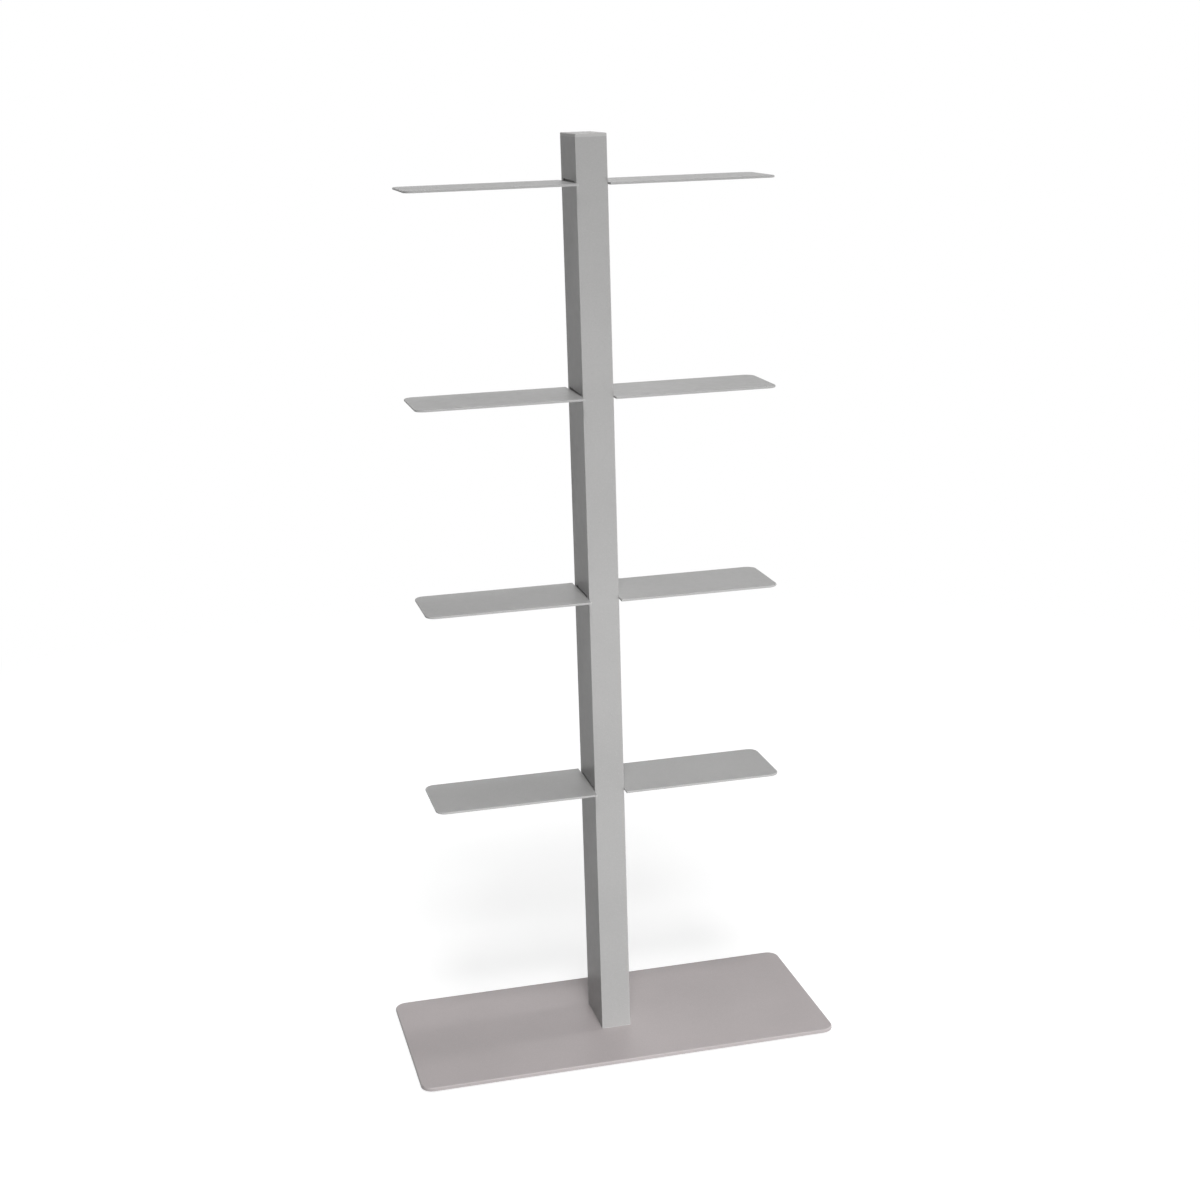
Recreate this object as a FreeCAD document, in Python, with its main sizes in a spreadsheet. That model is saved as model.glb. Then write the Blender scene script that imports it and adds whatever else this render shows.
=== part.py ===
import FreeCAD, Part
import os
import Sketcher

# Spine bookshelf: a steel tube column on a flat base plate, with hooked sheet shelves on both sides.
# Frame: origin on the floor under the middle of the plate, Z up, front towards -Y, X along the plate.

# Driving dimensions in millimetres, counts last
dimensions = {
    "total_height": 900.0,
    "plate_length": 425.0,
    "plate_depth": 188.0,
    "plate_thickness": 4.0,
    "plate_corner_radius": 12.0,
    "plate_edge_radius": 1.0,
    "pad_diameter": 25.0,
    "pad_thickness": 1.5,
    "pad_inset": 24.0,
    "column_width": 30.0,
    "column_depth": 60.0,
    "column_wall": 2.0,
    "column_corner_radius": 1.0,
    "column_inner_radius": 0.6,
    "column_setback": 5.0,
    "cap_head_thickness": 2.5,
    "cap_edge_radius": 0.8,
    "cap_tab_gap": 5.5,
    "cap_skirt_wall": 1.6,
    "cap_web": 1.6,
    "cap_fit": 0.2,
    "barb_depth": 0.9,
    "barb_height": 2.4,
    "barb_start": 2.0,
    "foot_height": 14.0,
    "foot_fit": 0.15,
    "screw_diameter": 6.0,
    "screw_head_diameter": 12.0,
    "screw_length": 16.0,
    "screw_tip_chamfer": 0.6,
    "screw_socket_width": 4.0,
    "screw_socket_depth": 2.0,
    "screw_spacing": 32.0,
    "screw_hole_fit": 0.4,
    "screw_head_fit": 0.3,
    "screw_thread_fit": 0.05,
    "first_shelf_level": 265.0,
    "shelf_top_margin": 44.0,
    "shelf_length": 160.0,
    "shelf_depth": 80.0,
    "shelf_thickness": 2.0,
    "shelf_corner_radius": 10.0,
    "shelf_edge_bevel": 0.4,
    "shelf_wall_gap": 0.1,
    "tongue_width": 44.0,
    "tongue_tab_height": 20.0,
    "tongue_bend_radius": 2.0,
    "tongue_corner_radius": 5.0,
    "slot_side_fit": 0.5,
    "slot_top_fit": 0.4,
    "overrun": 5.0,
    "edge_tolerance": 0.001,
    "shelf_levels": 4,
    "barb_count": 3,
}

doc = FreeCAD.newDocument("spine_bookshelf")
sheet = doc.addObject("Spreadsheet::Sheet", "Sizes")
for row, (alias, value) in enumerate(dimensions.items(), start=1):
    sheet.set(f"A{row}", alias)
    sheet.set(f"B{row}", str(value))
    sheet.setAlias(f"B{row}", alias)
doc.recompute()


def size(alias):
    return float(sheet.get(alias))


def bind(thing, prop, formula):
    # A formula names sheet cells with a leading at sign
    thing.setExpression(prop, formula.replace("@", "Sizes."))


def new_body(name):
    body = doc.addObject("PartDesign::Body", name)
    body.Label = name
    return body


def new_sketch(body, name, role):
    sketch = body.newObject("Sketcher::SketchObject", name)
    plane = [item for item in body.Origin.OriginFeatures if item.Role == role][0]
    sketch.AttachmentSupport = [(plane, "")]
    sketch.MapMode = "FlatFace"
    return sketch


def vector(x, y):
    return FreeCAD.Vector(x, y, 0)


def drive(sketch, constraint, name, formula):
    index = sketch.addConstraint(constraint)
    sketch.renameConstraint(index, name)
    bind(sketch, "Constraints." + name, formula)


def add_lines(sketch, points):
    # Closed run of straight lines, each end tied to the next start
    count = len(points)
    first = sketch.GeometryCount
    for index in range(count):
        line = Part.LineSegment(points[index], points[(index + 1) % count])
        sketch.addGeometry(line)
    for index in range(count):
        following = first + (index + 1) % count
        sketch.addConstraint(Sketcher.Constraint("Coincident", first + index, 2, following, 1))
    return first


def add_rectangle(sketch, name, width, depth, width_formula, depth_formula):
    # Rectangle centred on the sketch origin
    half_width, half_depth = width / 2, depth / 2
    corners = [vector(-half_width, -half_depth), vector(half_width, -half_depth),
               vector(half_width, half_depth), vector(-half_width, half_depth)]
    first = add_lines(sketch, corners)
    for side in (first, first + 2):
        sketch.addConstraint(Sketcher.Constraint("Horizontal", side))
    for side in (first + 1, first + 3):
        sketch.addConstraint(Sketcher.Constraint("Vertical", side))
    sketch.addConstraint(Sketcher.Constraint("Symmetric", first, 1, first + 2, 1, -1, 1))
    drive(sketch, Sketcher.Constraint("DistanceX", first, 1, first, 2, width), name + "_width",
          width_formula)
    drive(sketch, Sketcher.Constraint("DistanceY", first + 1, 1, first + 1, 2, depth), name + "_depth",
          depth_formula)


def add_circle(sketch, name, radius, height, radius_formula, height_formula):
    # Circle on the sketch's vertical axis
    index = sketch.addGeometry(Part.Circle(vector(0, height), FreeCAD.Vector(0, 0, 1), radius))
    sketch.addConstraint(Sketcher.Constraint("PointOnObject", index, 3, -2))
    drive(sketch, Sketcher.Constraint("Radius", index, radius), name + "_radius", radius_formula)
    drive(sketch, Sketcher.Constraint("DistanceY", -1, 1, index, 3, height), name + "_height",
          height_formula)


def pad(body, sketch, name, formula, reverse=False, symmetric=False):
    feature = body.newObject("PartDesign::Pad", name)
    feature.Profile = sketch
    feature.Reversed = reverse
    feature.Midplane = symmetric
    bind(feature, "Length", formula)
    doc.recompute()
    return feature


def pocket(body, sketch, name, formula, reverse=False, symmetric=False):
    before = body.Shape.Volume
    feature = body.newObject("PartDesign::Pocket", name)
    feature.Profile = sketch
    feature.Reversed = reverse
    feature.Midplane = symmetric
    bind(feature, "Length", formula)
    doc.recompute()
    if feature.Shape.Volume >= before:
        raise RuntimeError(name + " cuts nothing")
    return feature


def dress_edges(body, name, kind, prop, wanted, formula):
    # Fillet or chamfer on every edge of the body's present shape that the test picks
    base = body.Tip
    names = [f"Edge{index}" for index, edge in enumerate(base.Shape.Edges, start=1) if wanted(edge)]
    feature = body.newObject(kind, name)
    feature.Base = (base, names)
    bind(feature, prop, formula)
    doc.recompute()
    return feature


def round_edges(body, name, wanted, formula):
    return dress_edges(body, name, "PartDesign::Fillet", "Radius", wanted, formula)


def bevel_edges(body, name, wanted, formula):
    return dress_edges(body, name, "PartDesign::Chamfer", "Size", wanted, formula)


def is_upright(edge):
    tangent = edge.tangentAt(edge.FirstParameter)
    return edge.Curve.TypeId == "Part::GeomLine" and abs(tangent.z) > abs(tangent.x) + abs(tangent.y)


def lies_at(height):
    # Test for edges that lie wholly in one level plane
    def test(edge):
        box = edge.BoundBox
        return max(abs(box.ZMin - height), abs(box.ZMax - height)) <= size("edge_tolerance")
    return test


def place(thing, height, depth):
    bind(thing, "Placement.Base.y", depth)
    bind(thing, "Placement.Base.z", height)


nodes = []

plate_bottom = "@pad_thickness"
plate_top = "@pad_thickness + @plate_thickness"
shelf_pitch = "((@total_height - @shelf_top_margin - @first_shelf_level) / (@shelf_levels - 1))"

# Base plate: flat steel with rounded corners and two countersunk screw holes
plate = new_body("base_plate")
plate_sketch = new_sketch(plate, "plate_outline", "XY_Plane")
add_rectangle(plate_sketch, "plate", size("plate_length"), size("plate_depth"),
              "@plate_length", "@plate_depth")
pad(plate, plate_sketch, "plate_pad", "@plate_thickness")
round_edges(plate, "plate_corners", is_upright, "@plate_corner_radius")
plate_faces = (0, size("plate_thickness"))
round_edges(plate, "plate_edges", lambda edge: any(lies_at(level)(edge) for level in plate_faces),
            "@plate_edge_radius")
hole_sketch = new_sketch(plate, "screw_hole_centres", "XY_Plane")
for side, sign in (("front", -1), ("back", 1)):
    add_circle(hole_sketch, side, size("screw_diameter") / 2,
               size("column_setback") + sign * size("screw_spacing") / 2,
               "@screw_diameter / 2 + @screw_hole_fit / 2", f"@column_setback + {sign} * @screw_spacing / 2")
doc.recompute()
solid_plate_volume = plate.Shape.Volume
holes = plate.newObject("PartDesign::Hole", "screw_holes")
holes.Profile = hole_sketch
holes.Reversed = True
holes.DepthType = "ThroughAll"
holes.Threaded = False
holes.HoleCutType = "Countersink"
holes.HoleCutCustomValues = True
bind(holes, "Diameter", "@screw_diameter + @screw_hole_fit")
bind(holes, "HoleCutDiameter", "@screw_head_diameter + @screw_head_fit")
holes.HoleCutCountersinkAngle = 90
doc.recompute()
if plate.Shape.Volume >= solid_plate_volume:
    raise RuntimeError("the screw holes cut nothing")
bind(plate, "Placement.Base.z", plate_bottom)
nodes.append(plate)

# Column: rectangular tube set a little behind the plate's middle, slotted at each level in both side walls
column = new_body("column")
column_sketch = new_sketch(column, "column_outline", "XY_Plane")
add_rectangle(column_sketch, "column", size("column_width"), size("column_depth"),
              "@column_width", "@column_depth")
column_length = f"@total_height - @cap_head_thickness - ({plate_top})"
pad(column, column_sketch, "column_pad", column_length)
round_edges(column, "column_corners", is_upright, "@column_corner_radius")
bore_sketch = new_sketch(column, "column_bore", "XY_Plane")
bore_width = "(@column_width - 2 * @column_wall)"
bore_depth = "(@column_depth - 2 * @column_wall)"
add_rectangle(bore_sketch, "bore", size("column_width") - 2 * size("column_wall"),
              size("column_depth") - 2 * size("column_wall"), bore_width, bore_depth)
pocket(column, bore_sketch, "column_hollow", "@total_height", reverse=True)
half_bore = size("column_width") / 2 - size("column_wall")


def is_bore_corner(edge):
    return is_upright(edge) and abs(abs(edge.CenterOfMass.x) - half_bore) <= size("edge_tolerance")


round_edges(column, "column_bore_corners", is_bore_corner, "@column_inner_radius")

slot_height = "(@shelf_thickness + @tongue_bend_radius + @slot_top_fit)"
slot_width = "(@tongue_width + 2 * @slot_side_fit)"
slot_sketch = new_sketch(column, "slot_outline", "YZ_Plane")
slot_high = size("shelf_thickness") + size("tongue_bend_radius") + size("slot_top_fit")
slot_wide = size("tongue_width") + 2 * size("slot_side_fit")
slot_low = (size("first_shelf_level") - size("shelf_thickness") - size("pad_thickness")
            - size("plate_thickness"))
slot_corners = [vector(-slot_wide / 2, slot_low), vector(slot_wide / 2, slot_low),
                vector(slot_wide / 2, slot_low + slot_high), vector(-slot_wide / 2, slot_low + slot_high)]
slot_line = add_lines(slot_sketch, slot_corners)
slot_sketch.addConstraint(Sketcher.Constraint("Horizontal", slot_line + 2))
for side in (slot_line + 1, slot_line + 3):
    slot_sketch.addConstraint(Sketcher.Constraint("Vertical", side))
slot_sketch.addConstraint(Sketcher.Constraint("Symmetric", slot_line, 1, slot_line, 2, -2))
drive(slot_sketch, Sketcher.Constraint("DistanceX", slot_line, 1, slot_line, 2, slot_wide),
      "slot_width", slot_width)
drive(slot_sketch, Sketcher.Constraint("DistanceY", slot_line + 1, 1, slot_line + 1, 2, slot_high),
      "slot_height", slot_height)
drive(slot_sketch, Sketcher.Constraint("DistanceY", -1, 1, slot_line, 1, slot_low), "slot_level",
      f"@first_shelf_level - @shelf_thickness - ({plate_top})")
slot_cut = pocket(column, slot_sketch, "slot", "@column_width + 2 * @overrun", symmetric=True)
slots = column.newObject("PartDesign::LinearPattern", "slots")
slots.Originals = [slot_cut]
upright_axis = [item for item in column.Origin.OriginFeatures if item.Role == "Z_Axis"][0]
slots.Direction = (upright_axis, [""])
bind(slots, "Occurrences", "@shelf_levels")
bind(slots, "Length", f"{shelf_pitch} * (@shelf_levels - 1)")
column.Tip = slots
doc.recompute()
place(column, plate_top, "@column_setback")
nodes.append(column)

# Foot: steel block fixed in the tube's lower end, bored for the base screws
foot = new_body("column_foot")
foot_sketch = new_sketch(foot, "foot_outline", "XY_Plane")
foot_width = f"({bore_width} - 2 * @foot_fit)"
foot_depth = f"({bore_depth} - 2 * @foot_fit)"
add_rectangle(foot_sketch, "foot", 2 * half_bore, size("column_depth") - 2 * size("column_wall"),
              foot_width, foot_depth)
pad(foot, foot_sketch, "foot_pad", "@foot_height")
round_edges(foot, "foot_corners", is_upright, "@column_inner_radius")
thread_sketch = new_sketch(foot, "thread_bores", "XY_Plane")
for side, sign in (("front", -1), ("back", 1)):
    add_circle(thread_sketch, side, size("screw_diameter") / 2, sign * size("screw_spacing") / 2,
               "@screw_diameter / 2 + @screw_thread_fit", f"{sign} * @screw_spacing / 2")
pocket(foot, thread_sketch, "thread_cut", "@foot_height + @overrun", reverse=True)
place(foot, plate_top, "@column_setback")
nodes.append(foot)


def make_screw(name, sign):
    # Countersunk socket screw, head down: turned profile, then the six-sided socket
    screw = new_body(name)
    profile = new_sketch(screw, name + "_profile", "XZ_Plane")
    head, shank = size("screw_head_diameter") / 2, size("screw_diameter") / 2
    taper, tip, length = head - shank, size("screw_tip_chamfer"), size("screw_length")
    outline = [vector(0, 0), vector(head, 0), vector(shank, taper), vector(shank, length - tip),
               vector(shank - tip, length), vector(0, length)]
    first = add_lines(profile, outline)
    profile.addConstraint(Sketcher.Constraint("Coincident", first, 1, -1, 1))
    profile.addConstraint(Sketcher.Constraint("Horizontal", first))
    profile.addConstraint(Sketcher.Constraint("Vertical", first + 2))
    profile.addConstraint(Sketcher.Constraint("Horizontal", first + 4))
    profile.addConstraint(Sketcher.Constraint("Vertical", first + 5))
    drive(profile, Sketcher.Constraint("DistanceX", first, 1, first, 2, head), "head_radius",
          "@screw_head_diameter / 2")
    drive(profile, Sketcher.Constraint("DistanceX", -1, 1, first + 2, 1, shank), "shank_radius",
          "@screw_diameter / 2")
    drive(profile, Sketcher.Constraint("DistanceY", -1, 1, first + 2, 1, taper), "head_height",
          "(@screw_head_diameter - @screw_diameter) / 2")
    drive(profile, Sketcher.Constraint("DistanceY", -1, 1, first + 4, 2, length), "screw_length",
          "@screw_length")
    drive(profile, Sketcher.Constraint("DistanceX", first + 4, 1, first + 2, 2, tip), "tip_width",
          "@screw_tip_chamfer")
    drive(profile, Sketcher.Constraint("DistanceY", first + 2, 2, first + 4, 1, tip), "tip_height",
          "@screw_tip_chamfer")
    turned = screw.newObject("PartDesign::Revolution", name + "_turned")
    turned.Profile = profile
    turned.ReferenceAxis = (profile, ["V_Axis"])
    turned.Angle = 360
    doc.recompute()
    socket = new_sketch(screw, name + "_socket_outline", "XY_Plane")
    corner = FreeCAD.Vector(size("screw_socket_width") / 3 ** 0.5, 0, 0)
    turn = FreeCAD.Rotation(FreeCAD.Vector(0, 0, 1), 60)
    corners = [corner]
    for _ in range(5):
        corners.append(turn.multVec(corners[-1]))
    edge = add_lines(socket, corners)
    ring = socket.addGeometry(Part.Circle(vector(0, 0), FreeCAD.Vector(0, 0, 1), corner.Length), True)
    socket.addConstraint(Sketcher.Constraint("Coincident", ring, 3, -1, 1))
    for side in range(6):
        socket.addConstraint(Sketcher.Constraint("PointOnObject", edge + side, 1, ring))
    for side in range(5):
        socket.addConstraint(Sketcher.Constraint("Equal", edge + side, edge + side + 1))
    socket.addConstraint(Sketcher.Constraint("PointOnObject", edge, 1, -1))
    drive(socket, Sketcher.Constraint("Radius", ring, corner.Length), "socket_radius",
          "@screw_socket_width / sqrt(3)")
    pocket(screw, socket, name + "_socket", "@screw_socket_depth", reverse=True)
    place(screw, plate_bottom, f"@column_setback + {sign} * @screw_spacing / 2")
    return screw


# Base screws: front and back, kept as one node
screws = doc.addObject("Part::Compound", "base_screws")
screws.Label = "base_screws"
screws.Links = [make_screw("screw_front", -1), make_screw("screw_back", 1)]
doc.recompute()
nodes.append(screws)

# Top cap: moulded plug whose head covers the tube's end, with a hollow barbed skirt and a cross web
cap = new_body("top_cap")
head_sketch = new_sketch(cap, "cap_head_outline", "XY_Plane")
add_rectangle(head_sketch, "head", size("column_width"), size("column_depth"),
              "@column_width", "@column_depth")
pad(cap, head_sketch, "cap_head", "@cap_head_thickness")
round_edges(cap, "cap_corners", is_upright, "@column_corner_radius")
round_edges(cap, "cap_edge", lies_at(size("cap_head_thickness")), "@cap_edge_radius")
# The skirt stops short of the top shelves' tabs
skirt_height = ("(@shelf_top_margin - @cap_head_thickness - @tongue_tab_height - @tongue_bend_radius"
                " - @cap_tab_gap)")
core_width = f"({bore_width} - 2 * @cap_fit - 2 * @barb_depth)"
core_depth = f"({bore_depth} - 2 * @cap_fit - 2 * @barb_depth)"
core_wide = 2 * half_bore - 2 * size("cap_fit") - 2 * size("barb_depth")
core_deep = core_wide + size("column_depth") - size("column_width")
skirt_sketch = new_sketch(cap, "cap_skirt_outline", "XY_Plane")
add_rectangle(skirt_sketch, "skirt", core_wide, core_deep, core_width, core_depth)
pad(cap, skirt_sketch, "cap_skirt", skirt_height, reverse=True)
barb_sketch = new_sketch(cap, "barb_outline", "XY_Plane")
bind(barb_sketch, "AttachmentOffset.Base.z", "-@barb_start")
add_rectangle(barb_sketch, "barb", core_wide + 2 * size("barb_depth"), core_deep + 2 * size("barb_depth"),
              f"{core_width} + 2 * @barb_depth", f"{core_depth} + 2 * @barb_depth")
barb = pad(cap, barb_sketch, "barb", "@barb_height", reverse=True)
bind(barb, "TaperAngle", "-atan(@barb_depth / @barb_height)")
barbs = cap.newObject("PartDesign::LinearPattern", "barbs")
barbs.Originals = [barb]
cap_axis = [item for item in cap.Origin.OriginFeatures if item.Role == "Z_Axis"][0]
barbs.Direction = (cap_axis, [""])
barbs.Reversed = True
bind(barbs, "Occurrences", "@barb_count")
bind(barbs, "Length", f"({skirt_height} - @barb_start) / @barb_count * (@barb_count - 1)")
cap.Tip = barbs
doc.recompute()
hollow_sketch = new_sketch(cap, "cap_hollow_outline", "XY_Plane")
add_rectangle(hollow_sketch, "hollow", core_wide - 2 * size("cap_skirt_wall"),
              core_deep - 2 * size("cap_skirt_wall"), f"{core_width} - 2 * @cap_skirt_wall",
              f"{core_depth} - 2 * @cap_skirt_wall")
pocket(cap, hollow_sketch, "cap_hollow", f"{skirt_height} + @overrun")
web_sketch = new_sketch(cap, "cap_web_outline", "XY_Plane")
add_rectangle(web_sketch, "web", core_wide - size("cap_skirt_wall"), size("cap_web"),
              f"{core_width} - @cap_skirt_wall", "@cap_web")
pad(cap, web_sketch, "cap_cross_web", skirt_height, reverse=True)
place(cap, "@total_height - @cap_head_thickness", "@column_setback")
nodes.append(cap)


def make_shelf(name, level, side_angle):
    # Sheet shelf whose tongue passes the slot and turns up behind the wall
    shelf = new_body(name)
    near, far = size("column_width") / 2 + size("shelf_wall_gap"), size("shelf_length")
    half = size("shelf_depth") / 2
    near_formula = "@column_width / 2 + @shelf_wall_gap"
    outline = new_sketch(shelf, name + "_outline", "XY_Plane")
    first = add_lines(outline, [vector(near, -half), vector(near + far, -half),
                                vector(near + far, half), vector(near, half)])
    for side in (first, first + 2):
        outline.addConstraint(Sketcher.Constraint("Horizontal", side))
    outline.addConstraint(Sketcher.Constraint("Vertical", first + 3))
    outline.addConstraint(Sketcher.Constraint("Symmetric", first + 1, 1, first + 1, 2, -1))
    drive(outline, Sketcher.Constraint("DistanceX", -1, 1, first, 1, near), "shelf_start", near_formula)
    drive(outline, Sketcher.Constraint("DistanceX", first, 1, first, 2, far), "shelf_length",
          "@shelf_length")
    drive(outline, Sketcher.Constraint("DistanceY", first + 1, 1, first + 1, 2, 2 * half), "shelf_depth",
          "@shelf_depth")
    pad(shelf, outline, name + "_sheet", "@shelf_thickness")

    def is_outer_corner(edge):
        return is_upright(edge) and edge.CenterOfMass.x > near + far / 2

    def is_free_edge(edge):
        level_edge = lies_at(0)(edge) or lies_at(size("shelf_thickness"))(edge)
        return level_edge and edge.BoundBox.XMax > near + size("edge_tolerance")

    round_edges(shelf, name + "_corners", is_outer_corner, "@shelf_corner_radius")
    bevel_edges(shelf, name + "_edges", is_free_edge, "@shelf_edge_bevel")

    profile = new_sketch(shelf, name + "_tongue_profile", "XZ_Plane")
    thick, bend = size("shelf_thickness"), size("tongue_bend_radius")
    tab = size("tongue_tab_height")
    face = size("column_width") / 2 - size("column_wall") - size("shelf_wall_gap")
    turn = face + bend
    root = near + size("overrun")
    centre, axis = vector(turn, thick + bend), FreeCAD.Vector(0, 0, 1)
    quarter = FreeCAD.Units.Quantity("90 deg").getValueAs("rad").Value
    outer = Part.ArcOfCircle(Part.Circle(centre, axis, bend + thick), 2 * quarter, 3 * quarter)
    inner = Part.ArcOfCircle(Part.Circle(centre, axis, bend), 2 * quarter, 3 * quarter)
    pieces = [Part.LineSegment(vector(root, 0), vector(turn, 0)),
              outer,
              Part.LineSegment(vector(face - thick, thick + bend), vector(face - thick, thick + bend + tab)),
              Part.LineSegment(vector(face - thick, thick + bend + tab), vector(face, thick + bend + tab)),
              Part.LineSegment(vector(face, thick + bend + tab), vector(face, thick + bend)),
              inner,
              Part.LineSegment(vector(turn, thick), vector(root, thick)),
              Part.LineSegment(vector(root, thick), vector(root, 0))]
    for piece in pieces:
        profile.addGeometry(piece)
    # An arc's start is its upper end here, at the tab
    for joint in (("Tangent", 0, 2, 1, 2), ("Tangent", 1, 1, 2, 1), ("Coincident", 2, 2, 3, 1),
                  ("Coincident", 3, 2, 4, 1), ("Tangent", 4, 2, 5, 1), ("Tangent", 5, 2, 6, 1),
                  ("Coincident", 6, 2, 7, 1), ("Coincident", 7, 2, 0, 1), ("Coincident", 1, 3, 5, 3)):
        profile.addConstraint(Sketcher.Constraint(*joint))
    for line in (0, 3, 6):
        profile.addConstraint(Sketcher.Constraint("Horizontal", line))
    for line in (2, 4, 7):
        profile.addConstraint(Sketcher.Constraint("Vertical", line))
    profile.addConstraint(Sketcher.Constraint("PointOnObject", 0, 1, -1))
    drive(profile, Sketcher.Constraint("DistanceX", -1, 1, 0, 1, root), "root", f"{near_formula} + @overrun")
    drive(profile, Sketcher.Constraint("DistanceX", -1, 1, 4, 2, face), "tab_face",
          "@column_width / 2 - @column_wall - @shelf_wall_gap")
    drive(profile, Sketcher.Constraint("Radius", 5, bend), "bend", "@tongue_bend_radius")
    drive(profile, Sketcher.Constraint("DistanceY", 7, 2, 7, 1, thick), "sheet", "@shelf_thickness")
    drive(profile, Sketcher.Constraint("DistanceY", 4, 2, 4, 1, tab), "tab_height", "@tongue_tab_height")
    pad(shelf, profile, name + "_tongue", "@tongue_width", symmetric=True)

    def is_tab_corner(edge):
        box = edge.BoundBox
        return max(box.YLength, box.ZLength) <= size("edge_tolerance") and box.ZMin > thick + bend + tab / 2

    round_edges(shelf, name + "_tab_corners", is_tab_corner, "@tongue_corner_radius")
    shelf.Placement.Rotation = FreeCAD.Rotation(FreeCAD.Vector(0, 0, 1), side_angle)
    shelf_height = f"@first_shelf_level - @shelf_thickness + {level} * {shelf_pitch}"
    place(shelf, shelf_height, "@column_setback")
    return shelf


# Shelves: four levels on each side, the left ones turned half round
for side, side_angle in (("right", 0), ("left", 180)):
    for level in range(int(size("shelf_levels"))):
        nodes.append(make_shelf(f"shelf_{side}_{level + 1}", level, side_angle))

# Floor pads: thin rubber discs under the plate's corners
for depth_name, depth_sign in (("front", -1), ("back", 1)):
    for side, side_sign in (("left", -1), ("right", 1)):
        disc = doc.addObject("Part::Cylinder", f"pad_{depth_name}_{side}")
        disc.Label = disc.Name
        bind(disc, "Radius", "@pad_diameter / 2")
        bind(disc, "Height", "@pad_thickness")
        bind(disc, "Placement.Base.x", f"{side_sign} * (@plate_length / 2 - @pad_inset)")
        bind(disc, "Placement.Base.y", f"{depth_sign} * (@plate_depth / 2 - @pad_inset)")
        nodes.append(disc)

doc.recompute()
for item in doc.Objects:
    if "Invalid" in item.State or "Error" in item.State:
        raise RuntimeError(item.Label + " failed")
for node in nodes:
    if node.Shape.isNull() or not node.Shape.isValid():
        raise RuntimeError(node.Label + " has no sound shape")

os.makedirs("parts", exist_ok=True)
for node in nodes:
    node.Shape.exportStep(f"parts/{node.Label}.step")
    box = node.Shape.BoundBox
    print(f"{node.Label:16s} volume {node.Shape.Volume:10.1f}  x {box.XMin:8.2f} {box.XMax:8.2f}"
          f"  y {box.YMin:7.2f} {box.YMax:7.2f}  z {box.ZMin:7.2f} {box.ZMax:7.2f}")
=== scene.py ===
import math

import bmesh
import bpy
from mathutils import Matrix, Vector


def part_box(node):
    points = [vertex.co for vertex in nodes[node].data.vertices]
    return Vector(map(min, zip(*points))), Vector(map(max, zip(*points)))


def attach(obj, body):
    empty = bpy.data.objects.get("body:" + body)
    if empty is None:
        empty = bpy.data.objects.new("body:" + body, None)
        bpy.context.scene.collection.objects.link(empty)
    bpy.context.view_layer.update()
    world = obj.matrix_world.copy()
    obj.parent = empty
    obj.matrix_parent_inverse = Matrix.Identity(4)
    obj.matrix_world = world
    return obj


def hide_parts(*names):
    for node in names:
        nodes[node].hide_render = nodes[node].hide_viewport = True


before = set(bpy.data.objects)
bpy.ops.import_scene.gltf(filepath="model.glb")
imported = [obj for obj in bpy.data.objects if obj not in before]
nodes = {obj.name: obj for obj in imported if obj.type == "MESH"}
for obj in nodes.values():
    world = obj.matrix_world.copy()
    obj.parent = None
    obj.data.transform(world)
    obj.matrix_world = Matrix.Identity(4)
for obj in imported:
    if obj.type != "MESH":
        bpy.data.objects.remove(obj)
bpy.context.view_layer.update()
shelfNames = sorted(name for name in nodes if name.startswith("shelf_"))
padNames = sorted(name for name in nodes if name.startswith("pad_"))
print("frame: %d nodes, %d shelves" % (len(nodes), len(shelfNames)))


# node helpers

def feed(tree, socket, value):  # a link from another socket, or a fixed value
    if isinstance(value, bpy.types.NodeSocket):
        tree.links.new(value, socket)
    else:
        socket.default_value = value


def addNode(tree, kind, inputs=None, **settings):
    node = tree.nodes.new(kind)
    for name, value in settings.items():
        setattr(node, name, value)
    for key, value in (inputs or {}).items():
        feed(tree, node.inputs[key], value)
    return node


def mathStep(tree, operation, first, second):
    return addNode(tree, "ShaderNodeMath", {0: first, 1: second}, operation=operation).outputs["Value"]


def remap(tree, value, span, low=0.0, high=1.0):
    inputs = {"Value": value, "From Min": span[0], "From Max": span[1], "To Min": low, "To Max": high}
    return addNode(tree, "ShaderNodeMapRange", inputs).outputs["Result"]


def blend(tree, factor, first, second):
    node = addNode(tree, "ShaderNodeMix", data_type="RGBA")
    sockets = [socket for socket in node.inputs if socket.enabled]
    for socket, value in zip(sockets, (factor, first, second)):
        feed(tree, socket, value)
    return next(socket for socket in node.outputs if socket.enabled)


def stretched(tree, vector, scale):  # the same coordinates, squeezed along one axis or more
    return addNode(tree, "ShaderNodeMapping", {"Vector": vector, "Scale": scale}).outputs["Vector"]


def noise(tree, vector, scale, detail, roughness=0.5):
    inputs = {"Vector": vector, "Scale": scale, "Detail": detail, "Roughness": roughness}
    return addNode(tree, "ShaderNodeTexNoise", inputs).outputs["Fac"]


def cells(tree, vector, scale, output):
    return addNode(tree, "ShaderNodeTexVoronoi", {"Vector": vector, "Scale": scale}).outputs[output]


def bump(tree, height, strength, distance, below=None):
    inputs = {"Height": height, "Strength": strength, "Distance": distance}
    if below is not None:
        inputs["Normal"] = below
    return addNode(tree, "ShaderNodeBump", inputs).outputs["Normal"]


# material helpers

def grey(level, warm=0.0):  # linear grey, a little warmer or cooler
    return (level * (1 + warm), level, level * (1 - warm), 1)


def startMaterial(name):
    material = bpy.data.materials.new(name)
    material.use_nodes = True
    tree = material.node_tree
    shader = next(node for node in tree.nodes if node.type == "BSDF_PRINCIPLED")
    return material, tree, shader, addNode(tree, "ShaderNodeTexCoord").outputs["Object"]


def setShader(tree, shader, colour, rough, normal, fixed):
    for name, value in (("Base Color", colour), ("Roughness", rough), ("Normal", normal), *fixed.items()):
        feed(tree, shader.inputs[name], value)


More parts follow.
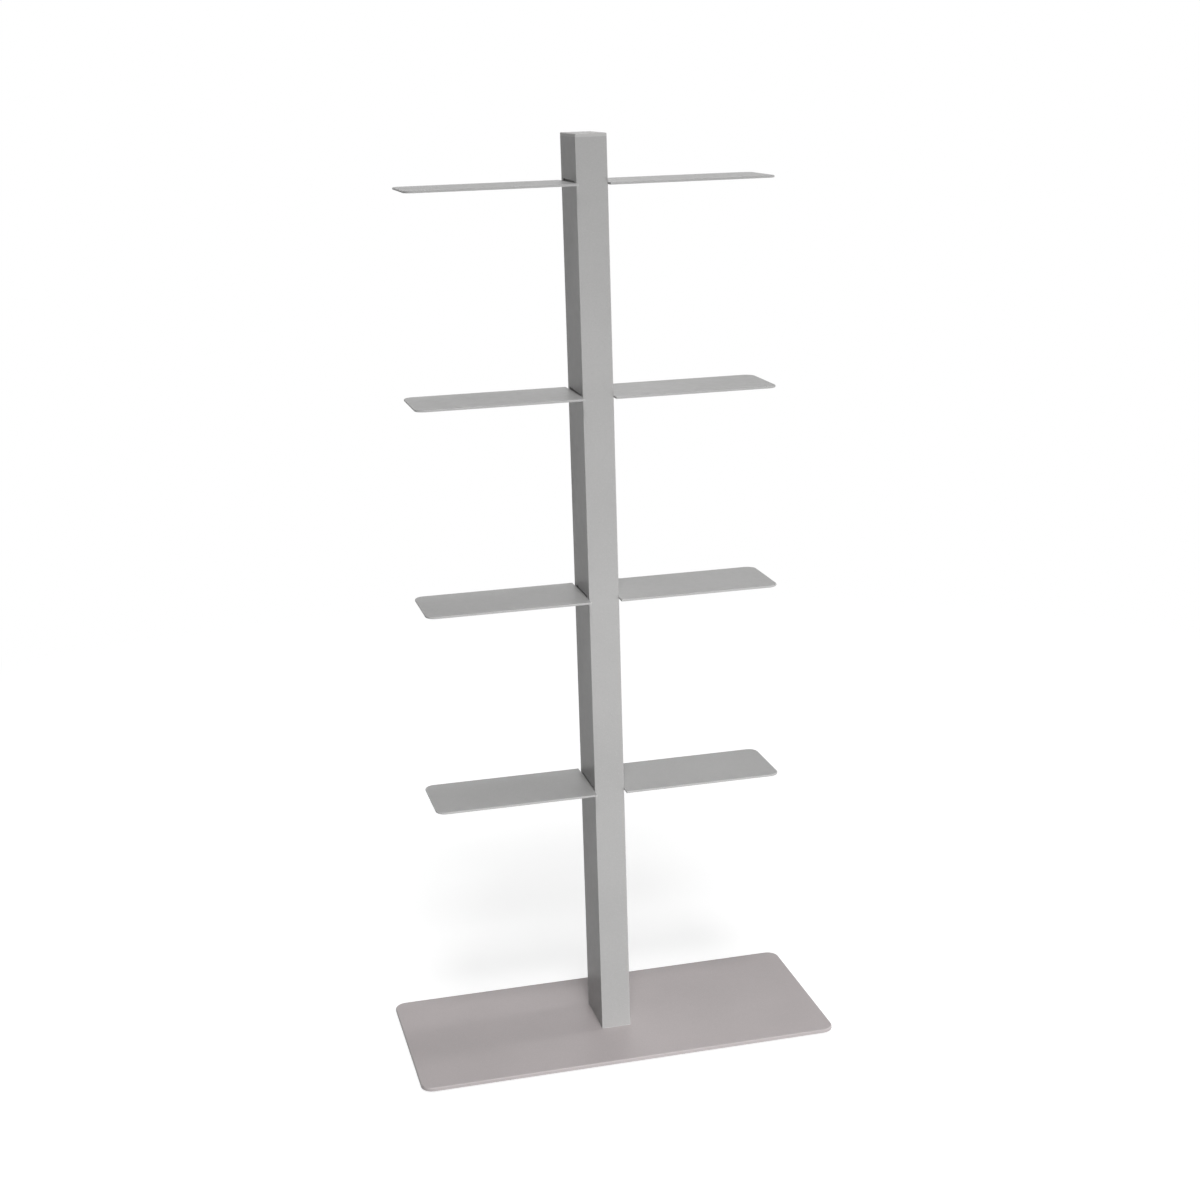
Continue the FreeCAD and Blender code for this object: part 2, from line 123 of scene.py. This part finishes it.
def twoTone(tree, pattern, facts):  # dark where the pattern is low, light where it is high
    return blend(tree, remap(tree, pattern, facts["toneSpan"]), facts["dark"], facts["light"])


def roughness(tree, pattern, facts):
    return remap(tree, pattern, facts["roughSpan"], *facts["rough"])


# powder coat on plate, column and shelves

coat = {
    "light": 0.41, "dark": 0.37, "flake": 0.5, "pit": 0.3,  # greys, before the tint
    "tintsAndReflections": {"powderCoat": (1.007, 1.0, 0.993), "plateCoatPaintedReflection": (1.08, 0.992, 0.995)},  # the plate's rosy tint is a painted reflection of reddish surroundings
    "cloudScale": 5.0, "cloudDetail": 4.0, "cloudSpan": (0.35, 0.65),
    "speckScale": 2600.0, "flakeSpan": (0.82, 0.9), "flakeShare": 0.55, "pitSpan": (0.12, 0.2), "pitShare": 0.45,
    "edgeReach": 0.0012, "edgeSamples": 4, "edgeSpan": (0.995, 0.85),
    # edge tones paint a highlight along every edge, partly the coat drawn thin there; the plate's is lighter
    "edgeHighlightTones": {"powderCoat": 0.56, "plateCoatPaintedReflection": 0.62},
    "roughScale": 130.0, "roughDetail": 3.0, "roughSpan": (0.3, 0.7), "rough": (0.34, 0.44),
    "peelScale": 520.0, "peelDetail": 2.0, "peelStrength": 0.5, "peelDepth": 0.00005,
    "grainScale": 2400.0, "grainDetail": 1.0, "grainStrength": 0.4, "grainDepth": 0.00002,
    "gloss": {"IOR": 1.2, "Specular IOR Level": 0.4},
}


def nearEdges(tree):  # 0 on flats, rising to 1 beside edges, where the edge highlight is painted
    rounded = addNode(tree, "ShaderNodeBevel", {"Radius": coat["edgeReach"]}, samples=coat["edgeSamples"])
    surface = addNode(tree, "ShaderNodeNewGeometry")
    normals = {0: rounded.outputs["Normal"], 1: surface.outputs["Normal"]}
    likeness = addNode(tree, "ShaderNodeVectorMath", normals, operation="DOT_PRODUCT")
    return remap(tree, likeness.outputs["Value"], coat["edgeSpan"])


def makeCoat(name):
    material, tree, shader, where = startMaterial(name)
    # every tone is multiplied by its finish's tint; on the plate that tint is a painted rosy reflection
    light, dark, flake, pit = ([coat[tone] * share for share in coat["tintsAndReflections"][name]] + [1]
                               for tone in ("light", "dark", "flake", "pit"))
    cloud = noise(tree, where, coat["cloudScale"], coat["cloudDetail"])
    colour = blend(tree, remap(tree, cloud, coat["cloudSpan"]), dark, light)
    speck = cells(tree, where, coat["speckScale"], "Color")
    colour = blend(tree, remap(tree, speck, coat["flakeSpan"], 0, coat["flakeShare"]), colour, flake)
    colour = blend(tree, remap(tree, speck, coat["pitSpan"], coat["pitShare"], 0), colour, pit)
    colour = blend(tree, nearEdges(tree), colour, grey(coat["edgeHighlightTones"][name]))  # painted highlight along the edges, partly the coat drawn thin there
    rough = roughness(tree, noise(tree, where, coat["roughScale"], coat["roughDetail"]), coat)
    peel = noise(tree, where, coat["peelScale"], coat["peelDetail"])
    grain = noise(tree, where, coat["grainScale"], coat["grainDetail"])
    normal = bump(tree, peel, coat["peelStrength"], coat["peelDepth"])
    normal = bump(tree, grain, coat["grainStrength"], coat["grainDepth"], normal)
    setShader(tree, shader, colour, rough, normal, coat["gloss"])
    return material


# moulded plastic of the top cap

capPlastic = {
    "light": grey(0.46, 0.01), "dark": grey(0.43, 0.015),
    "flowStretch": (1, 0.35, 1), "flowScale": 18.0, "flowDetail": 3.0, "toneSpan": (0.35, 0.65),
    "etchScale": 1500.0, "etchStrength": 0.4, "etchDepth": 0.00005, "roughSpan": (0.1, 0.7), "rough": (0.46, 0.58),
}


def makeCapPlastic(name):
    material, tree, shader, where = startMaterial(name)
    along = stretched(tree, where, capPlastic["flowStretch"])
    flow = noise(tree, along, capPlastic["flowScale"], capPlastic["flowDetail"])
    etch = cells(tree, where, capPlastic["etchScale"], "Distance")
    normal = bump(tree, etch, capPlastic["etchStrength"], capPlastic["etchDepth"])
    setShader(tree, shader, twoTone(tree, flow, capPlastic), roughness(tree, etch, capPlastic), normal, {})
    return material


# sawn and faced steel of the foot block

footSteel = {
    "light": grey(0.58), "dark": grey(0.42, 0.01), "toneSpan": (0.3, 0.7),
    "lineStretch": (1, 40, 1), "lineScale": 60.0, "lineDetail": 4.0, "lineRoughness": 0.6,
    "lineStrength": 0.3, "lineDepth": 0.00003,
    "roughSpan": (0.3, 0.7), "rough": (0.48, 0.28), "gloss": {"Metallic": 1.0},
}


def makeFootSteel(name):
    material, tree, shader, where = startMaterial(name)
    along = stretched(tree, where, footSteel["lineStretch"])
    lines = noise(tree, along, footSteel["lineScale"], footSteel["lineDetail"], footSteel["lineRoughness"])
    normal = bump(tree, lines, footSteel["lineStrength"], footSteel["lineDepth"])
    setShader(tree, shader, twoTone(tree, lines, footSteel), roughness(tree, lines, footSteel), normal,
              footSteel["gloss"])
    return material


# zinc on the base screws

zinc = {
    "light": (0.66, 0.67, 0.68, 1), "dark": (0.52, 0.51, 0.47, 1), "toneSpan": (0.35, 0.65),
    "bloomScale": 260.0, "bloomDetail": 4.0, "roughSpan": (0.3, 0.7), "rough": (0.4, 0.22),
    "grainScale": 1800.0, "grainDetail": 2.0, "grainStrength": 0.3, "grainDepth": 0.00002,
    "gloss": {"Metallic": 1.0},
}


def makeZinc(name):
    material, tree, shader, where = startMaterial(name)
    bloom = noise(tree, where, zinc["bloomScale"], zinc["bloomDetail"])
    grain = noise(tree, where, zinc["grainScale"], zinc["grainDetail"])
    normal = bump(tree, grain, zinc["grainStrength"], zinc["grainDepth"])
    setShader(tree, shader, twoTone(tree, bloom, zinc), roughness(tree, bloom, zinc), normal, zinc["gloss"])
    return material


# rubber of the floor pads

rubber = {
    "light": grey(0.045), "dark": grey(0.022), "toneSpan": (0.4, 0.75),
    "dustScale": 140.0, "dustDetail": 5.0, "dustRoughness": 0.6, "roughSpan": (0.3, 0.7), "rough": (0.6, 0.8),
    "grainScale": 2200.0, "grainDetail": 2.0, "grainStrength": 0.4, "grainDepth": 0.00006,
}


def makeRubber(name):
    material, tree, shader, where = startMaterial(name)
    dust = noise(tree, where, rubber["dustScale"], rubber["dustDetail"], rubber["dustRoughness"])
    grain = noise(tree, where, rubber["grainScale"], rubber["grainDetail"])
    normal = bump(tree, grain, rubber["grainStrength"], rubber["grainDepth"])
    setShader(tree, shader, twoTone(tree, dust, rubber), roughness(tree, dust, rubber), normal, {})
    return material


makers = {"powderCoat": makeCoat, "plateCoatPaintedReflection": makeCoat, "capPlastic": makeCapPlastic,
          "footSteel": makeFootSteel, "zincPlate": makeZinc, "padRubber": makeRubber}
finishes = {name: make(name) for name, make in makers.items()}
print("finishes:", ", ".join(finishes))


def dress(name, finish):
    mesh = nodes[name].data
    mesh.materials.clear()
    mesh.materials.append(finishes[finish])


for name in ["column"] + shelfNames:
    dress(name, "powderCoat")
# the plate's finish carries a painted rosy reflection and a lighter painted edge highlight
dress("base_plate", "plateCoatPaintedReflection")
dress("top_cap", "capPlastic")
dress("column_foot", "footSteel")
print("dressed the CAD nodes")


# turned shapes and their copies, for the small pieces

def tip(work, height):
    return [work.verts.new((0, 0, height))]


def ring(work, height, radiusAt, steps):  # radius by angle
    corners = []
    for step in range(steps):
        angle = math.tau * step / steps
        radius = radiusAt(angle)
        corners.append(work.verts.new((radius * math.cos(angle), radius * math.sin(angle), height)))
    return corners


def joinRings(work, rings, steps, name):
    for lower, upper in zip(rings, rings[1:]):
        for step in range(steps):
            corners = [lower[step % len(lower)], lower[(step + 1) % len(lower)],
                       upper[(step + 1) % len(upper)], upper[step % len(upper)]]
            work.faces.new(list(dict.fromkeys(corners)))  # three corners at a tip
    bmesh.ops.remove_doubles(work, verts=work.verts, dist=1e-7)
    bmesh.ops.recalc_face_normals(work, faces=work.faces)
    mesh = bpy.data.meshes.new(name)
    work.to_mesh(mesh)
    work.free()
    return mesh


def gridPlace(tree, index, spread, count, stride):  # (index // stride % count - (count - 1) / 2) * spread
    row = mathStep(tree, "FLOOR", mathStep(tree, "DIVIDE", index, stride), 0)
    place = mathStep(tree, "SUBTRACT", mathStep(tree, "MODULO", row, count), (count - 1) / 2)
    return mathStep(tree, "MULTIPLY", place, spread)


def copyTree(name, columns, rows):  # node tree: one shape on a grid of places, made real, with its finish
    tree = bpy.data.node_groups.new(name, "GeometryNodeTree")
    for label, kind in (("Shape", "Object"), ("Spread X", "Float"), ("Spread Y", "Float"),
                        ("Height", "Float"), ("Finish", "Material")):
        tree.interface.new_socket(label, in_out="INPUT", socket_type="NodeSocket" + kind)
    tree.interface.new_socket("Geometry", in_out="OUTPUT", socket_type="NodeSocketGeometry")
    given = addNode(tree, "NodeGroupInput").outputs
    index = addNode(tree, "GeometryNodeInputIndex").outputs["Index"]
    points = addNode(tree, "GeometryNodeMeshLine", {"Count": columns * rows}).outputs["Mesh"]
    spot = addNode(tree, "ShaderNodeCombineXYZ", {
        "X": gridPlace(tree, index, given["Spread X"], columns, 1),
        "Y": gridPlace(tree, index, given["Spread Y"], rows, columns),
        "Z": given["Height"]}).outputs["Vector"]
    placed = addNode(tree, "GeometryNodeSetPosition", {"Geometry": points, "Position": spot}).outputs["Geometry"]
    shape = addNode(tree, "GeometryNodeObjectInfo", {"Object": given["Shape"]}).outputs["Geometry"]
    copies = addNode(tree, "GeometryNodeInstanceOnPoints", {"Points": placed, "Instance": shape}).outputs["Instances"]
    real = addNode(tree, "GeometryNodeRealizeInstances", {"Geometry": copies}).outputs["Geometry"]
    paint = addNode(tree, "GeometryNodeSetMaterial", {"Geometry": real, "Material": given["Finish"]})
    addNode(tree, "NodeGroupOutput", {"Geometry": paint.outputs["Geometry"]})
    return tree


def addObject(name, data):
    thing = bpy.data.objects.new(name, data)
    bpy.context.scene.collection.objects.link(thing)
    return thing


def spreadCopies(name, mesh, columns, rows, spread, height, finish):
    shape = addObject(name + "Shape", mesh)
    piece = addObject(name, bpy.data.meshes.new(name))
    tree = copyTree(name + "Copies", columns, rows)
    modifier = piece.modifiers.new("copies", "NODES")
    modifier.node_group = tree
    values = {"Shape": shape, "Spread X": spread[0], "Spread Y": spread[1], "Height": height,
              "Finish": finishes[finish]}
    for item in tree.interface.items_tree:
        if item.in_out == "INPUT":
            modifier[item.identifier] = values[item.name]
    graph = bpy.context.evaluated_depsgraph_get()
    piece.data = bpy.data.meshes.new_from_object(piece.evaluated_get(graph))
    piece.modifiers.remove(modifier)
    bpy.data.objects.remove(shape)
    piece.data.name = name
    return piece


# countersunk screws under the plate, thread and all

screw = {
    "shankShare": 0.5, "edge": 0.0003, "rim": 0.0001,  # shank against head, then the broken edges
    "socketAcross": 0.004, "socketDepth": 0.002, "socketTip": 0.0005,
    "pitch": 0.001, "threadDepth": 0.00055, "chamfer": 0.0006,
    "steps": 36, "rowsPerPitch": 8,
}


def screwMesh(headRadius, length):
    steps, edge, rim, pitch = screw["steps"], screw["edge"], screw["rim"], screw["pitch"]
    shankRadius = headRadius * screw["shankShare"]
    taper = headRadius - shankRadius
    side = math.pi / 3

    def hexRadius(angle):  # distance to the side of the six-sided socket
        return screw["socketAcross"] / 2 / math.cos((angle + side / 2) % side - side / 2)

    def threadRadius(height, angle):
        turn = (height - taper) / pitch - angle / math.tau
        ridge = abs(2 * (turn % 1) - 1)
        start = min(1, (height - taper) / pitch)  # the thread runs out under the head
        end = max(0, height - length + screw["chamfer"])
        return min(shankRadius - screw["threadDepth"] * ridge * start, shankRadius - end)

    work = bmesh.new()
    rings = [tip(work, screw["socketDepth"] + screw["socketTip"]),
             ring(work, screw["socketDepth"], hexRadius, steps),
             ring(work, edge, hexRadius, steps),
             ring(work, 0, lambda angle: hexRadius(angle) + edge, steps),
             ring(work, 0, lambda angle: headRadius - edge, steps),
             ring(work, rim, lambda angle: headRadius - rim, steps),
             ring(work, taper, lambda angle: shankRadius, steps)]
    count = int((length - taper) / pitch * screw["rowsPerPitch"])
    for row in range(1, count + 1):
        height = taper + (length - taper) * row / count
        rings.append(ring(work, height, lambda angle: threadRadius(height, angle), steps))
    rings.append(tip(work, length))
    return joinRings(work, rings, steps, "screw")


def makeScrews():
    low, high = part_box("base_screws")
    headRadius = (high[0] - low[0]) / 2
    spread = high[1] - low[1] - 2 * headRadius
    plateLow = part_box("base_plate")[0][2]
    mesh = screwMesh(headRadius, high[2] - low[2])
    piece = spreadCopies("baseScrews", mesh, 1, 2, (0, spread), plateLow, "zincPlate")
    piece.data.transform(Matrix.Translation((0, (low[1] + high[1]) / 2, 0)))  # they follow the column back
    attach(piece, "root")
    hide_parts("base_screws")
    print("screws: two, %d faces" % len(piece.data.polygons))


# rubber discs under the plate, with moulded rings on the lower face

pad = {"edge": 0.0004, "edgeSteps": 4, "rings": (0.35, 0.55, 0.75), "ringHalfShare": 0.05, "ringDepth": 0.0003,
       "steps": 64}


def padMesh(radius, thickness):
    edge, depth = pad["edge"], pad["ringDepth"]
    profile = []  # (radius, height) pairs, from the middle of the lower face to the upper rim
    for share in pad["rings"]:
        inner, outer = radius * (share - pad["ringHalfShare"]), radius * (share + pad["ringHalfShare"])
        profile += [(inner, 0), (inner + depth, depth), (outer - depth, depth), (outer, 0)]
    for step in range(pad["edgeSteps"] + 1):
        turn = math.pi / 2 * step / pad["edgeSteps"]
        profile.append((radius - edge + edge * math.sin(turn), edge - edge * math.cos(turn)))
    profile += [(radius, thickness - edge / 2), (radius - edge / 2, thickness)]
    work = bmesh.new()
    rings = [ring(work, height, lambda angle: reach, pad["steps"]) for reach, height in profile]
    return joinRings(work, [tip(work, 0)] + rings + [tip(work, thickness)], pad["steps"], "pad")


def makePads():
    low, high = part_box(padNames[0])
    radius, thickness = (high[0] - low[0]) / 2, high[2] - low[2]
    spread = [abs(low[axis] + high[axis]) for axis in (0, 1)]
    piece = spreadCopies("floorPads", padMesh(radius, thickness), 2, 2, spread, 0, "padRubber")
    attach(piece, "root")
    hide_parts(*padNames)
    print("pads: four, %d faces" % len(piece.data.polygons))


makeScrews()
makePads()


# pale floor, white to the eye, with the shadow kept

ground = {"halfSide": 9.0, "albedo": 0.38, "lift": 0.755, "shadowReach": 0.7, "whiteFrom": 1.7}


def seenRays(tree):  # 1 for what the camera sees, also in gloss or through glass
    path = addNode(tree, "ShaderNodeLightPath").outputs
    seen = mathStep(tree, "MAXIMUM", path["Is Camera Ray"], path["Is Glossy Ray"])
    return mathStep(tree, "MAXIMUM", seen, path["Is Transmission Ray"])


def mixShaders(tree, share, first, second):
    return addNode(tree, "ShaderNodeMixShader", {0: share, 1: first, 2: second}).outputs["Shader"]


def floorMaterial():
    material = bpy.data.materials.new("paleFloor")
    material.use_nodes = True
    tree = material.node_tree
    tree.nodes.clear()
    seen = seenRays(tree)
    lit = addNode(tree, "ShaderNodeBsdfDiffuse", {"Color": grey(ground["albedo"])}).outputs["BSDF"]
    glow = addNode(tree, "ShaderNodeEmission", {"Color": grey(ground["lift"]), "Strength": seen})
    near = addNode(tree, "ShaderNodeAddShader", {0: lit, 1: glow.outputs["Emission"]}).outputs["Shader"]
    white = addNode(tree, "ShaderNodeEmission").outputs["Emission"]  # plain white beyond the shadow
    where = addNode(tree, "ShaderNodeTexCoord").outputs["Object"]
    reach = addNode(tree, "ShaderNodeVectorMath", {0: where}, operation="LENGTH").outputs["Value"]
    far = remap(tree, reach, (ground["shadowReach"], ground["whiteFrom"]))
    above = mixShaders(tree, mathStep(tree, "MULTIPLY", far, seen), near, white)
    clear = addNode(tree, "ShaderNodeBsdfTransparent").outputs["BSDF"]  # neither eye nor lamp is blocked from below
    below = addNode(tree, "ShaderNodeNewGeometry").outputs["Backfacing"]
    shade = addNode(tree, "ShaderNodeLightPath").outputs["Is Shadow Ray"]
    pane = mixShaders(tree, mathStep(tree, "MAXIMUM", below, shade), above, clear)
    addNode(tree, "ShaderNodeOutputMaterial", {"Surface": pane})
    return material


def makeFloor():
    half = ground["halfSide"]
    corners = [(-half, -half, 0), (half, -half, 0), (half, half, 0), (-half, half, 0)]
    mesh = bpy.data.meshes.new("floor")
    mesh.from_pydata(corners, [], [(0, 1, 2, 3)])
    mesh.materials.append(floorMaterial())
    floor = addObject("floor", mesh)


# studio light

studio = {
    "ambient": 0.08,
    "key": {"from": (-0.05, -0.5, 0.85), "strength": 2.0, "softness": 18.0, "glint": True},
    "fill": {"from": (0.95, 0.05, 0.2), "strength": 1.2, "softness": 10.0, "glint": True},
    "back": {"from": (0.3, 0.9, 0.05), "strength": 1.9, "softness": 50.0, "glint": False},
    "under": {"from": (0.0, -0.1, -1.0), "strength": 1.0, "softness": 50.0, "glint": True},
    "front": {"place": (0.15, -1.3, 0.22), "aim": (0, 0, 0.15), "watts": 11.5, "width": 0.9, "height": 0.4,
              "glint": False},
}


def makeWorld():  # white to the eye, dim as a light
    world = bpy.data.worlds.new("paleRoom")
    bpy.context.scene.world = world
    world.use_nodes = True
    tree = world.node_tree
    background = next(node for node in tree.nodes if node.type == "BACKGROUND")
    background.inputs["Color"].default_value = grey(1.0)
    feed(tree, background.inputs["Strength"], remap(tree, seenRays(tree), (0, 1), studio["ambient"], 1.0))


def addLamp(name, data, place, back, glint):
    lamp = addObject(name, data)
    lamp.location = place
    lamp.rotation_euler = back.to_track_quat("Z", "Y").to_euler()
    lamp.visible_camera = False
    lamp.visible_glossy = glint


def makeSun(name):  # far lamp, even over the whole height
    facts = studio[name]
    data = bpy.data.lights.new(name + "Lamp", "SUN")
    data.energy = facts["strength"]
    data.angle = math.radians(facts["softness"])
    addLamp(name + "Lamp", data, facts["from"], Vector(facts["from"]), facts["glint"])


def makePanel(name):  # near panel, stronger towards the foot
    facts = studio[name]
    data = bpy.data.lights.new(name + "Panel", "AREA")
    data.shape = "RECTANGLE"
    data.size, data.size_y = facts["width"], facts["height"]
    data.energy = facts["watts"]
    back = Vector(facts["place"]) - Vector(facts["aim"])
    addLamp(name + "Panel", data, facts["place"], back, facts["glint"])


makeFloor()
makeWorld()
for name in ("key", "fill", "back", "under"):
    makeSun(name)
makePanel("front")
bpy.context.scene.view_settings.view_transform = "Standard"
print("stage and light set")


# camera at the photograph's place

shot = {"place": (-0.4357, -1.7871, 0.9562), "yaw": 13.76, "pitch": -15.269, "roll": -1.686,
        "focalPixels": 1945.4, "imagePixels": 1200.0, "sensor": 36.0}


def makeCamera():
    yaw, pitch, roll = (math.radians(shot[name]) for name in ("yaw", "pitch", "roll"))
    forward = Vector((math.sin(yaw) * math.cos(pitch), math.cos(yaw) * math.cos(pitch), math.sin(pitch)))
    level = Vector((math.cos(yaw), -math.sin(yaw), 0))
    upright = level.cross(forward)
    right = level * math.cos(roll) + upright * math.sin(roll)
    up = upright * math.cos(roll) - level * math.sin(roll)
    turn = Matrix((right, up, -forward)).transposed()
    data = bpy.data.cameras.new("shot")
    data.sensor_width = shot["sensor"]
    data.lens = shot["focalPixels"] / shot["imagePixels"] * shot["sensor"]
    camera = addObject("shot", data)
    camera.matrix_world = Matrix.Translation(shot["place"]) @ turn.to_4x4()
    bpy.context.scene.camera = camera


makeCamera()
print("camera set")
